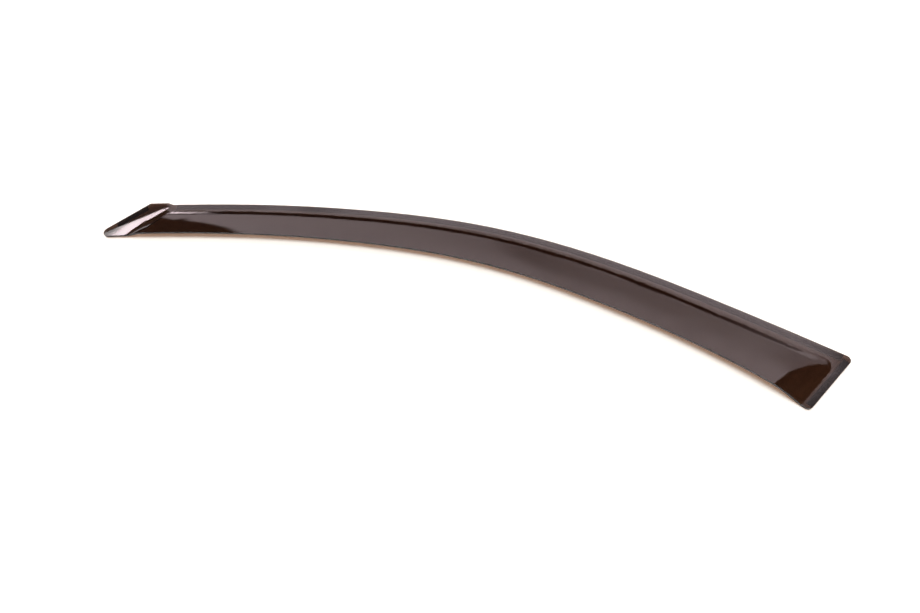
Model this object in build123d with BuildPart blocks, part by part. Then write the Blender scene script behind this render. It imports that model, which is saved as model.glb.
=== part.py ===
"""Window rain deflector: a smoked visor moulded in one piece, and the tape that holds it to a door frame.

Frame, in millimetres: X runs along the door from the pointed nose (-X) to the square rear end (+X),
+Y points to the flange that follows the top of the window, +Z points away from the glass.
The tape's sticky face lies on Z = 0 and the origin is below the middle of the visor's box.
"""
import os
from math import radians, sqrt, tan

from build123d import *

# Thicknesses
TAPE_THICK = 0.8
WALL = 3.0

# Plan: the top edge follows the window frame, as shares of the length and distances across
LENGTH = 905.5
CENTRE_SHIFT = 4.54
TOP_EDGE = [(0.096, 4.2), (0.242, 33), (0.396, 54.6), (0.56, 64.7), (0.728, 52.1), (0.871, 25.7), (1, -3.2)]
TOP_SLOPES = (0.24, -0.262)
REAR_DEPTH = 70.6
REAR_SLANT = 26.7
TIP_ROUND = 7.0
REAR_ROUND = 5.0
NOSE_ROUND = 2.0

# Width from the top edge to the free edge, which hangs over the glass
NOSE_WIDTH = 49.5
MIDDLE_WIDTH = 53.5
REAR_WIDTH = 64.5
FREE_SHARES = (0.9, 0.72, 0.54, 0.36, 0.18, 0.045)

# Wall section: flange, step up to the body, body rising ever faster to the free edge.
# The step fades out over a length before the rear end
FLANGE_AT_NOSE = 9.5
FLANGE_AT_REAR = 11.9
STEP_RUN = 8.0
STEP_RISE = 2.3
STEP_FADE = 60.0
BODY_SLOPE = 0.2
BODY_BEND = 0.25

# Rear end: a ramp down to its own flange, its foot rounded into the foot of the step
END_FLANGE = 8.5
RAMP_ANGLE = 23
FOOT_ROUND = 12.0
HIP_POWER = 4
LEAST_RISE = 0.03

# Nose: folds between the flat tab, the shallow gusset, the sloping end wall and the body.
# Its points are distances back from the sharp corner of its tip, and distances across
TIP = (0, -67.4)
NOSE_TOP = (53.2, -1)
TAB_END = (79.5, 5.4)
FOLD = [(86.2, 4.6), (4.5, -66.5)]
VALLEY = [(88.1, 4.4), (45.8, -56.6)]
RIDGE_END = (65.3, -55.1)
RIDGE_ALONG = 13.7
NOSE_DIP = 1.7
DIP_REACH = 70.0
GUSSET_RISE = 1.8
APEX_FLANGE = 6.0
APEX_RISE = 0.15
END_WALL_POWER = 1.35
END_WALL_STEPS = 6

# Where the wall section is set: along the top edge, closer near the nose, and back from the ramp's foot
BODY_STEPS = 9
BODY_CROWDING = 1.3
RAMP_STATIONS = [150, 100, 68, 47, 33, 23, 15, 8, 3, 0]
NOSE_FAN = 260.0
REAR_FAN = 200.0

# Tape strips, set in from the flange's edge
TAPE_WIDTH = 6.0
TAPE_INSET = 0.3
TAPE_TIP_GAP = 34.0
BOND_GAP = 0.02
TAPE_STEPS = 8

# Stock beyond the plan that the trim takes off
MARGIN = 6.0
TALL = 30.0

flange_face = TAPE_THICK + WALL
tape_line = TAPE_INSET + TAPE_WIDTH / 2


def plan(back, across):
    """Plan point at a distance back from the sharp corner of the nose's tip."""
    return Vector(back - LENGTH / 2 - CENTRE_SHIFT, across)


def bearing(start, end):
    """Unit plan vector from start to end."""
    return (end - start).normalized()


def reach(start, end):
    """Plan length from start to end, with the margin added."""
    return (end - start).length + MARGIN


def least(first, second):
    """The lesser of two heights, the change from one to the other rounded."""
    return (first ** -HIP_POWER + second ** -HIP_POWER) ** (-1 / HIP_POWER)


def wall(start, heading, length, foot=FLANGE_AT_NOSE, run=STEP_RUN, step_rise=0.0, edge_rise=0.0):
    """Upright wall section on a plan line: flat as far as the foot, then the step, then the body."""
    crest = foot + run
    third = (length - crest) / 3
    pitch = (edge_rise - step_rise) / (length - crest)
    slack, steep = pitch * (1 - BODY_BEND), pitch * (1 + BODY_BEND)
    middle = foot + run / 2
    step = [(foot, 0), (middle, 0), (middle, step_rise - slack * run / 2), (crest, step_rise)]
    body = [(crest, step_rise), (crest + third, step_rise + slack * third)]
    body += [(length - third, edge_rise - steep * third), (length, edge_rise)]
    inner_step = [(along + WALL / 2, up - WALL) for along, up in reversed(step)]
    inner_body = [(along + WALL / 2, up - WALL) for along, up in reversed(body)]
    origin = start + Vector(0, 0, flange_face)
    upright = Plane(origin=origin, x_dir=heading, z_dir=heading.cross(Vector(0, 0, 1)))
    outer_end, inner_end = (-MARGIN, 0), (-MARGIN, -WALL)
    with BuildLine(upright):
        edges = [Line(outer_end, step[0]), Bezier(*step), Bezier(*body), Line(body[-1], inner_body[0])]
        edges += [Bezier(*inner_body), Bezier(*inner_step), Line(inner_step[-1], inner_end)]
        edges += [Line(inner_end, outer_end)]
    return Face(Wire(edges))


# Lines of the plan
tip, nose_top, tab_end, ridge_end = plan(*TIP), plan(*NOSE_TOP), plan(*TAB_END), plan(*RIDGE_END)
fold = [plan(*point) for point in FOLD]
valley = [plan(*point) for point in VALLEY]
top_points = [plan(share * LENGTH, across) for share, across in TOP_EDGE]
with BuildLine() as top_line:
    top_edge = Spline(*top_points, tangents=[(1, slope) for slope in TOP_SLOPES])
rear_way = Vector(0, -1).rotate(Axis.Z, -REAR_SLANT)
rear_top = top_points[-1]
rear_bottom = rear_top + rear_way * REAR_DEPTH
ridge_way = bearing(top_edge.position_at(RIDGE_ALONG / top_edge.length), ridge_end)
front_way = bearing(nose_top, tip)


def top_frame(along):
    """Place on the top edge at a length along it, and the bearing square to the edge there."""
    share = along / top_edge.length
    heading = top_edge.tangent_at(share)
    return top_edge.position_at(share), Vector(heading.Y, -heading.X, 0)


def width_at(along):
    """Width of the visor at a length along the top edge: a parabola through the three widths."""
    share = along / top_edge.length
    nose, middle, rear = (1 - share) * (1 - 2 * share), 4 * share * (1 - share), share * (2 * share - 1)
    return NOSE_WIDTH * nose + MIDDLE_WIDTH * middle + REAR_WIDTH * rear


def free_point(share):
    """Point of the free edge, square across from a share of the top edge."""
    place, inward = top_frame(share * top_edge.length)
    return place + inward * width_at(share * top_edge.length)


# Plan outline, with its corners rounded
with BuildSketch(Plane.XY) as outline:
    with BuildLine():
        add(top_edge)
        Line(rear_top, rear_bottom)
        Spline(rear_bottom, *[free_point(share) for share in FREE_SHARES], tip)
        Polyline(tip, nose_top, tab_end, top_points[0])
    make_face()
    fillet(outline.vertices().sort_by_distance(tip)[0], radius=TIP_ROUND)
    fillet(outline.vertices().sort_by_distance(rear_bottom)[0], radius=REAR_ROUND)
    fillet(outline.vertices().sort_by_distance(rear_top)[0], radius=REAR_ROUND)
    fillet(outline.vertices().sort_by_distance(nose_top)[0], radius=NOSE_ROUND)


def body_section(along):
    """What sets the wall section at a length along the top edge, fanned towards both ends."""
    place, inward = top_frame(along)
    to_nose = max(0.0, 1 - (along - RIDGE_ALONG) / NOSE_FAN) ** 2
    to_rear = min(1.0, max(0.0, 1 - (top_edge.length - along - ramp_length) / REAR_FAN)) ** 2
    way = (inward + (ridge_way - inward) * to_nose + (rear_way - inward) * to_rear).normalized()
    stretch = 1 / inward.dot(way)
    growth = (along / top_edge.length) ** 2
    flange = FLANGE_AT_NOSE + (FLANGE_AT_REAR - FLANGE_AT_NOSE) * growth
    width = width_at(along) + MARGIN
    dip = NOSE_DIP * max(0.0, 1 - (along - RIDGE_ALONG) / DIP_REACH) ** 2
    edge_rise = STEP_RISE + BODY_SLOPE * (width - flange - STEP_RUN) - dip
    from_foot = max(0.0, rear_foot - along)
    ramp = max(from_foot * tan(radians(RAMP_ANGLE)), LEAST_RISE)
    step_rise = max(STEP_RISE * (1 - max(0.0, 1 - from_foot / STEP_FADE) ** 2), LEAST_RISE)
    curl = max(0.0, FOOT_ROUND - from_foot)
    foot = flange + FOOT_ROUND - sqrt(FOOT_ROUND ** 2 - curl ** 2)
    return [place, way, width * stretch, foot * stretch, STEP_RUN * stretch,
            least(step_rise, ramp), least(edge_rise, ramp)]


ramp_length = max(RAMP_STATIONS) + END_FLANGE
rear_foot = top_edge.length - END_FLANGE / rear_way.dot(top_frame(top_edge.length)[1])
body_length = rear_foot - max(RAMP_STATIONS) - RIDGE_ALONG
stations = [RIDGE_ALONG + body_length * (step / BODY_STEPS) ** BODY_CROWDING for step in range(BODY_STEPS)]
stations += [rear_foot - back for back in RAMP_STATIONS]
body_walls = [wall(*body_section(along)) for along in stations]

# Flat sections past both ends, and the two folds of the nose
ahead = Vector(front_way.Y, -front_way.X, 0) * MARGIN
front_wall = wall(nose_top + ahead, front_way, reach(nose_top, tip))
fold_wall = wall(fold[0], bearing(*fold), reach(*fold))
valley_way = bearing(*valley)
valley_section = [valley[0], valley_way, reach(*valley), APEX_FLANGE, STEP_RUN, APEX_RISE, GUSSET_RISE]
ridge_section = body_section(RIDGE_ALONG)
behind = top_edge.tangent_at(1) * MARGIN
rear_wall = wall(rear_top + behind, rear_way, reach(rear_top, rear_bottom))


def end_wall(share):
    """Section on the way from the valley to the ridge of the nose, its rises growing ever faster."""
    shares = [share] * 5 + [share ** END_WALL_POWER] * 2
    changes = zip(valley_section, ridge_section, shares)
    start, heading, *sizes = [first + (last - first) * part for first, last, part in changes]
    return wall(start, heading.normalized(), *sizes)


def trimmed_loft(sections, ruled):
    """Loft through wall sections, trimmed to the plan outline."""
    with BuildPart() as stretch:
        loft(sections=sections, ruled=ruled)
        extrude(outline.sketch, amount=TALL, mode=Mode.INTERSECT)
    return stretch.part


end_walls = [end_wall(step / END_WALL_STEPS) for step in range(END_WALL_STEPS + 1)]
with BuildPart() as visor:
    add(trimmed_loft(body_walls, ruled=False))
    add(trimmed_loft(end_walls, ruled=False))
    add(trimmed_loft([front_wall, fold_wall, end_walls[0]], ruled=True))
    add(trimmed_loft([body_walls[-1], rear_wall], ruled=True))
visor.part.label = "visor"


def tape_point(step):
    """Point on the middle line of the top strip, at a step of the way from its start to its end."""
    place, inward = top_frame(top_start + (top_end - top_start) * step / TAPE_STEPS)
    return place + inward * tape_line


# Tape strips under the flange: along the top edge, across the rear end and along the front of the nose
top_start, top_end = TAPE_WIDTH, rear_foot - TAPE_INSET
top_path = [tape_point(step) for step in range(TAPE_STEPS + 1)]
rear_in = Vector(rear_way.Y, -rear_way.X, 0) * tape_line
rear_start = rear_top + rear_in + rear_way * REAR_ROUND
rear_end = rear_bottom + rear_in - rear_way * REAR_ROUND
front_in = Vector(-front_way.Y, front_way.X, 0) * tape_line
front_start = nose_top + front_in + front_way * TAPE_WIDTH
front_end = tip + front_in - front_way * TAPE_TIP_GAP

with BuildPart() as tape_top:
    with BuildSketch():
        with BuildLine():
            Spline(*top_path)
        trace(line_width=TAPE_WIDTH)
    extrude(amount=TAPE_THICK - BOND_GAP)
tape_top.part.label = "mounting_tape_top"

with BuildPart() as tape_rear:
    with BuildSketch():
        with BuildLine():
            Line(rear_start, rear_end)
        trace(line_width=TAPE_WIDTH)
    extrude(amount=TAPE_THICK - BOND_GAP)
tape_rear.part.label = "mounting_tape_rear"

with BuildPart() as tape_nose:
    with BuildSketch():
        with BuildLine():
            Line(front_start, front_end)
        trace(line_width=TAPE_WIDTH)
    extrude(amount=TAPE_THICK - BOND_GAP)
tape_nose.part.label = "mounting_tape_nose"

os.makedirs("parts", exist_ok=True)
export_step(visor.part, "parts/visor.step")
export_step(tape_top.part, "parts/mounting_tape_top.step")
export_step(tape_rear.part, "parts/mounting_tape_rear.step")
export_step(tape_nose.part, "parts/mounting_tape_nose.step")
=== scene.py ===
# %% [markdown]
# # Window rain deflector: dressing a smoked visor
#
# The part is a long visor of smoked acrylic that sticks to the frame above a car door's window, with strips
# of foam tape under its flange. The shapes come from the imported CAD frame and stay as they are. This lesson
# gives them their finish: a see-through smoke tint for the visor, a dull dark foam for the tape, a white
# table and the large soft lights of a product studio. A clear glossy part is mostly what it mirrors, so the
# lights get as much care as the materials.

from math import radians

import bmesh
import bpy
from mathutils import Matrix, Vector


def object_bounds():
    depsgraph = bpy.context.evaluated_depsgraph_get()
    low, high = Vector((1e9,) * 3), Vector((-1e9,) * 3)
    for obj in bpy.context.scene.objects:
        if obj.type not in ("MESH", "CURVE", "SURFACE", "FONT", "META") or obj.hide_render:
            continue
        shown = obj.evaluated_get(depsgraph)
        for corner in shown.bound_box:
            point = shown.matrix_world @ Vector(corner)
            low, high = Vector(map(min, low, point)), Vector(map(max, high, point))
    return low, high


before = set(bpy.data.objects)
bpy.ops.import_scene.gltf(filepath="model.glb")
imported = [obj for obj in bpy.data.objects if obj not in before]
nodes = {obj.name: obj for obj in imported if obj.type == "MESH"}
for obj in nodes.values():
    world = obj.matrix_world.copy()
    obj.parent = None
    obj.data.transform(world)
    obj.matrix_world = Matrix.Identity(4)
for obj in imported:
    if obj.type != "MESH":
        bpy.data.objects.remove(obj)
cad_low, cad_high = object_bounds()
length, depth, height = cad_high - cad_low
print(f"loaded {len(nodes)} nodes, {length:.3f} x {depth:.3f} x {height:.4f} m")

# %% [markdown]
# ## Camera
#
# The picture is taken from above the front of the visor, nearer its square end, with the camera rolled a
# little to one side. A camera can be aimed at a point, but that leaves no say over the roll. Three turns
# give all of it: one round the upright axis, one down towards the table, and one about the camera's own line
# of sight. The lens is a short one, so the near end looks larger than the nose.

# %% Place the camera
SENSOR_WIDTH = 36.0
IMAGE_WIDTH = 920
FOCAL_PIXELS = 659.13
NEAREST_SEEN = 0.01
CAMERA_PLACE = (0.27326, -0.33868, 0.63611)
CAMERA_TURN = 36.291
CAMERA_TILT = 29.983
CAMERA_ROLL = -19.235

lens_data = bpy.data.cameras.new("studio_camera")
lens_data.sensor_width = SENSOR_WIDTH
lens_data.lens = SENSOR_WIDTH * FOCAL_PIXELS / IMAGE_WIDTH
lens_data.clip_start = NEAREST_SEEN
camera = bpy.data.objects.new("studio_camera", lens_data)
bpy.context.scene.collection.objects.link(camera)
aim = Matrix.Rotation(radians(CAMERA_TURN), 4, "Z")
aim = aim @ Matrix.Rotation(radians(CAMERA_TILT), 4, "X")
aim = aim @ Matrix.Rotation(radians(CAMERA_ROLL), 4, "Z")
camera.matrix_world = Matrix.Translation(CAMERA_PLACE) @ aim
bpy.context.scene.camera = camera
bpy.context.scene.view_settings.view_transform = "Standard"
print(f"lens {lens_data.lens:.2f} mm")

# %% [markdown]
# ## Table
#
# The visor lies on a white table. One large square is enough. It sits a hair below the tape, so that the two
# faces don't fight for the same place.

# %% Make the table
TABLE_SIZE = 12.0
TABLE_DROP = 0.0002

table_mesh = bpy.data.meshes.new("white_table")
shape = bmesh.new()
bmesh.ops.create_grid(shape, x_segments=1, y_segments=1, size=TABLE_SIZE / 2)
bmesh.ops.translate(shape, verts=shape.verts, vec=(0, 0, cad_low.z - TABLE_DROP))
shape.to_mesh(table_mesh)
shape.free()
table = bpy.data.objects.new("white_table", table_mesh)
bpy.context.scene.collection.objects.link(table)
print(f"table {TABLE_SIZE} m square")

# %% [markdown]
# A product picture shows its table a little past white, so that only the dark part of a shadow is left. More
# light would do that too, but it would also fall on the visor. So the table has two whites: a plain one for
# the light that it passes on, and one above 1, a little warm, where the camera looks straight at it. On the
# open table that warmth clips to white, so it shows only in the shadow, as a painted warm tint there.

# %% Paint the table
TABLE_WHITE = (0.96, 0.96, 0.96, 1)
# White seen by the camera, above 1; its warmth is a painted warm tint in the table's shadow.
TABLE_AS_SEEN = (1.3, 1.27, 1.2, 1)

table_paint = bpy.data.materials.new("white_table")
table_paint.use_nodes = True
table_nodes = table_paint.node_tree.nodes
table_links = table_paint.node_tree.links
table_nodes.remove(table_nodes["Principled BSDF"])
table_rays = table_nodes.new("ShaderNodeLightPath")
table_white = table_nodes.new("ShaderNodeMixRGB")
table_white.inputs["Color1"].default_value = TABLE_WHITE
table_white.inputs["Color2"].default_value = TABLE_AS_SEEN
table_shader = table_nodes.new("ShaderNodeBsdfDiffuse")
table_links.new(table_rays.outputs["Is Camera Ray"], table_white.inputs["Fac"])
table_links.new(table_white.outputs["Color"], table_shader.inputs["Color"])
table_links.new(table_shader.outputs["BSDF"], table_nodes["Material Output"].inputs["Surface"])
table_mesh.materials.append(table_paint)
print(f"painted {table.name}")

# %% [markdown]
# ## Studio light
#
# A smooth dark part shows its form only by what it mirrors. Lamps could stand round the table for that, but
# each would have to be placed by trial until its mirror image lands on the right face. Here the lights are
# painted on the world by direction instead. A direction has an azimuth, round the upright axis, and an
# elevation above the table. From the camera, each face of the visor mirrors its own small range of the two,
# so a panel with edges at those angles lights that face and hardly any other.

# %% Measure directions on the world
world = bpy.data.worlds.new("studio")
bpy.context.scene.world = world
world.use_nodes = True
tree = world.node_tree
tree.nodes.clear()


def math_node(operation, first, second=None):
    """Math node on sockets or plain numbers; gives its result socket."""
    node = tree.nodes.new("ShaderNodeMath")
    node.operation = operation
    for socket, value in zip(node.inputs, (first, second)):
        if isinstance(value, (int, float)):
            socket.default_value = value
        elif value is not None:
            tree.links.new(value, socket)
    return node.outputs[0]


direction = tree.nodes.new("ShaderNodeTexCoord").outputs["Generated"]
split = tree.nodes.new("ShaderNodeSeparateXYZ")
tree.links.new(direction, split.inputs[0])
azimuth = math_node("ARCTAN2", split.outputs["Y"], split.outputs["X"])
elevation = math_node("ARCSINE", split.outputs["Z"])
print(f"{world.name} has {len(tree.nodes)} nodes for its directions")

# %% [markdown]
# A panel is a level of light times a mask for each of its edges. An edge names an angle, then its values in
# degrees where the panel is dark and where it is fully lit, and the mask runs smoothly from one to the
# other. The visor is curved, so some edges have to slope with it. Their angle is a height above a sloping
# line, in place of the plain elevation.

# %% Prepare soft edges, panels and sloping lines


def soft_edge(angle, dark, lit):
    """Mask that goes smoothly from 0 at the dark angle to 1 at the lit angle, in degrees."""
    node = tree.nodes.new("ShaderNodeMapRange")
    node.interpolation_type = "SMOOTHSTEP"
    node.inputs["From Min"].default_value = radians(min(dark, lit))
    node.inputs["From Max"].default_value = radians(max(dark, lit))
    node.inputs["To Min"].default_value = 0.0 if dark < lit else 1.0
    node.inputs["To Max"].default_value = 1.0 if dark < lit else 0.0
    tree.links.new(angle, node.inputs["Value"])
    return node.outputs["Result"]


def softbox(*edges, level):
    """Light panel by direction. Each edge is an angle, its value where dark and its value where lit."""
    for edge in edges:
        level = math_node("MULTIPLY", soft_edge(*edge), level)
    return level


def slanted(slant, pivot):
    """Height above a sloping line that meets the horizon at the pivot's azimuth, in degrees."""
    sideways = math_node("SUBTRACT", azimuth, radians(pivot))
    return math_node("ADD", math_node("MULTIPLY", sideways, slant), elevation)


along_body = slanted(slant=0.17, pivot=135)
along_step = slanted(slant=0.1, pivot=135)
along_wedge = slanted(slant=-0.25, pivot=138)
along_gusset = slanted(slant=1.8, pivot=154.2)
print(f"{world.name} has {len(tree.nodes)} nodes with its sloping lines")

# %% [markdown]
# The panels behind the table lay the grey sheen on the visor: one set for its body and one, higher up, for
# its flange. Below the panels and past their ends it stays dark, which draws the line of the step, the dark
# wedge of the nose and the dark ramp at the rear. The body has a panel for each half, because their edges
# slope in different ways, and the two fade into each other.

# %% Hang the panels for the body and the flange
rear_half = [(azimuth, 53.5, 55.5), (azimuth, 130, 90)]
nose_half = [(azimuth, 90, 130), (azimuth, 152.6, 152.1)]
above_step = (along_step, 25.5, 26.5)
below_flange = (along_body, 41, 40)
near_free_edge = (along_body, 33.5, 28.5)
wedge_to_flange = [(along_wedge, 26.5, 27.5), (along_wedge, 47.3, 44.3)]
flange_run = [(azimuth, 60, 66), (azimuth, 152.4, 146.4)]
flange_heights = [(along_body, 46.3, 49.3), (along_body, 57, 56)]
flange_fade = [(azimuth, 58, 66), (azimuth, 150, 142)]
fade_heights = [(elevation, 44, 52), (elevation, 65, 60.5)]

sheens = {
    "rear half of the body": softbox(*rear_half, above_step, below_flange, level=1.15),
    "rear half, near the free edge": softbox(*rear_half, above_step, near_free_edge, level=0.95),
    "nose half of the body": softbox(*nose_half, above_step, *wedge_to_flange, level=1.65),
    "flange": softbox(*flange_run, *flange_heights, level=1.75),
    "flange, towards the rear": softbox(*flange_fade, *fade_heights, level=0.8),
}
print(f"panels: {'; '.join(sheens)}")

# %% [markdown]
# Small faces get panels of their own. The face of the step turns through many heights, so one low panel
# gives it a light line near the nose, and another softens its dark line near the rear. The gusset of the
# nose has the strongest panel of all, and the flat tab beside it has only a trace of light.

# %% Hang the panels for the step and the nose
step_rear = [(azimuth, 53.5, 55.5), (azimuth, 82, 70), (elevation, 5, 12), (along_step, 26.5, 25.5)]
step_nose = [(azimuth, 135, 139), (azimuth, 145, 141), (elevation, -5, -2), (elevation, 20, 17)]
gusset_run = [(azimuth, 150.2, 150.9), (azimuth, 157, 153.5), (along_gusset, 33.8, 31.5)]
gusset_heights = [(elevation, 30.2, 30.8), (elevation, 38.6, 38)]
tab_run = [(azimuth, 151.5, 153), (azimuth, 162, 160)]
tab_heights = [(elevation, 38.6, 39.4), (elevation, 44, 42)]

sheens["step at the rear"] = softbox(*step_rear, level=0.6)
sheens["step at the nose"] = softbox(*step_nose, level=5.0)
sheens["gusset of the nose"] = softbox(*gusset_run, *gusset_heights, level=10.0)
sheens["tab of the nose"] = softbox(*tab_run, *tab_heights, level=0.15)
print(f"{len(sheens)} panels in all")

# %% [markdown]
# A round light straight above does most of the lighting of the table. From the camera no face mirrors it. A
# small lamp beyond the nose whitens its tip, and a weak fill from the front lightens the shadow.

# %% Add the lamps
high_up = (elevation, 71, 77)
tip_run = [(azimuth, 151, 154), (azimuth, 168, 165)]
tip_heights = [(elevation, 30.2, 31.2), (elevation, 38.6, 37.6)]
in_front = [(azimuth, -150, -130), (azimuth, -10, -30), (elevation, 10, 30)]

lamps = {
    "overhead": softbox(high_up, level=9.0),
    "tip of the nose": softbox(*tip_run, *tip_heights, level=3.0),
    "front fill": softbox(*in_front, level=0.12),
}
print(f"lamps: {', '.join(lamps)}")

# %% [markdown]
# The panels share a rosy tint, the lamps are white, and the room between them is nearly black. All of it is
# for mirrors and for light. What is looked at directly, or through the acrylic, is plain white like the
# table.

# %% Put the studio together
DARK_ROOM = 0.04
SHEEN_TINT = (1.2, 1.0, 1.04)
WHITE = (1, 1, 1, 1)


def total(panels, level):
    """Sum of the panels' levels and a plain level."""
    for panel in panels.values():
        level = math_node("ADD", panel, level)
    return level


tinted = tree.nodes.new("ShaderNodeVectorMath")
tinted.operation = "MULTIPLY_ADD"
tree.links.new(total(sheens, 0.0), tinted.inputs[0])
tinted.inputs[1].default_value = SHEEN_TINT
tree.links.new(total(lamps, DARK_ROOM), tinted.inputs[2])
rays = tree.nodes.new("ShaderNodeLightPath")
looked_at = math_node("MAXIMUM", rays.outputs["Is Camera Ray"], rays.outputs["Is Transmission Ray"])
seen = tree.nodes.new("ShaderNodeMixRGB")
tree.links.new(looked_at, seen.inputs["Fac"])
tree.links.new(tinted.outputs["Vector"], seen.inputs["Color1"])
seen.inputs["Color2"].default_value = WHITE
backdrop = tree.nodes.new("ShaderNodeBackground")
tree.links.new(seen.outputs["Color"], backdrop.inputs["Color"])
output = tree.nodes.new("ShaderNodeOutputWorld")
tree.links.new(backdrop.outputs["Background"], output.inputs["Surface"])
print(f"{world.name} with {len(sheens)} panels and {len(lamps)} lamps")

# %% [markdown]
# ## Smoked acrylic
#
# The visor is clear acrylic with a brown-grey dye all through it, so thick places and slanting views look
# darker. A surface colour can't do that. The surface is left clear and fully see-through, and the dye is a
# volume that absorbs light on its way through the wall: blue most, red least.
#
# A renderer aims straight rays at its lights to find the shadows. A clear surface that bends light stops
# them, and the light behind it is then found only by chance. Here those rays pass the surface unbent,
# through a clear shader, and only the dye holds them back. That gives the brown strip of shadow along the
# free edge.

# %% Dye the visor
ACRYLIC_IOR = 1.49
ACRYLIC_ROUGHNESS = 0.0
DYE_DENSITY = 960.0
DYE_COLOUR = (0.333, 0.167, 0.031, 1)

acrylic = bpy.data.materials.new("smoked_acrylic")
acrylic.use_nodes = True
acrylic_nodes = acrylic.node_tree.nodes
acrylic_links = acrylic.node_tree.links
acrylic_shader = acrylic_nodes["Principled BSDF"]
acrylic_shader.inputs["Base Color"].default_value = WHITE
acrylic_shader.inputs["Transmission Weight"].default_value = 1.0
acrylic_shader.inputs["Roughness"].default_value = ACRYLIC_ROUGHNESS
acrylic_shader.inputs["IOR"].default_value = ACRYLIC_IOR
dye = acrylic_nodes.new("ShaderNodeVolumeAbsorption")
dye.inputs["Color"].default_value = DYE_COLOUR
dye.inputs["Density"].default_value = DYE_DENSITY
unbent = acrylic_nodes.new("ShaderNodeBsdfTransparent")
acrylic_rays = acrylic_nodes.new("ShaderNodeLightPath")
surface = acrylic_nodes.new("ShaderNodeMixShader")
acrylic_output = acrylic_nodes["Material Output"]
acrylic_links.new(acrylic_rays.outputs["Is Shadow Ray"], surface.inputs["Fac"])
acrylic_links.new(acrylic_shader.outputs["BSDF"], surface.inputs[1])
acrylic_links.new(unbent.outputs["BSDF"], surface.inputs[2])
acrylic_links.new(surface.outputs["Shader"], acrylic_output.inputs["Surface"])
acrylic_links.new(dye.outputs["Volume"], acrylic_output.inputs["Volume"])
nodes["visor"].material_slots[0].material = acrylic
print(f"dyed {nodes['visor'].name}")

# %% [markdown]
# ## Foam tape
#
# The tape is a dull dark foam. Through the flange it is only a dark band, and a plain grey would do for
# that. From below, the cells of the foam can be seen close up. A fine noise gives them their lighter and
# darker specks and their small pits, and all the strips share it.

# %% Darken the tape
TAPE_DARK = (0.04, 0.04, 0.04, 1)
TAPE_LIGHT = (0.2, 0.2, 0.2, 1)
TAPE_ROUGHNESS = 0.9
TAPE_SPECULAR = 0.2
CELLS_PER_METRE = 3000.0
PIT_DEPTH = 0.0001

foam = bpy.data.materials.new("foam_tape")
foam.use_nodes = True
foam_nodes = foam.node_tree.nodes
foam_links = foam.node_tree.links
foam_shader = foam_nodes["Principled BSDF"]
foam_shader.inputs["Roughness"].default_value = TAPE_ROUGHNESS
foam_shader.inputs["Specular IOR Level"].default_value = TAPE_SPECULAR
foam_place = foam_nodes.new("ShaderNodeTexCoord")
cells = foam_nodes.new("ShaderNodeTexNoise")
cells.inputs["Scale"].default_value = CELLS_PER_METRE
specks = foam_nodes.new("ShaderNodeValToRGB")
specks.color_ramp.elements[0].color = TAPE_DARK
specks.color_ramp.elements[1].color = TAPE_LIGHT
pits = foam_nodes.new("ShaderNodeBump")
pits.inputs["Distance"].default_value = PIT_DEPTH
foam_links.new(foam_place.outputs["Object"], cells.inputs["Vector"])
foam_links.new(cells.outputs["Fac"], specks.inputs["Fac"])
foam_links.new(specks.outputs["Color"], foam_shader.inputs["Base Color"])
foam_links.new(cells.outputs["Fac"], pits.inputs["Height"])
foam_links.new(pits.outputs["Normal"], foam_shader.inputs["Normal"])
tapes = [node for name, node in nodes.items() if name.startswith("mounting_tape")]
for tape in tapes:
    tape.material_slots[0].material = foam
print(f"darkened {len(tapes)} strips")
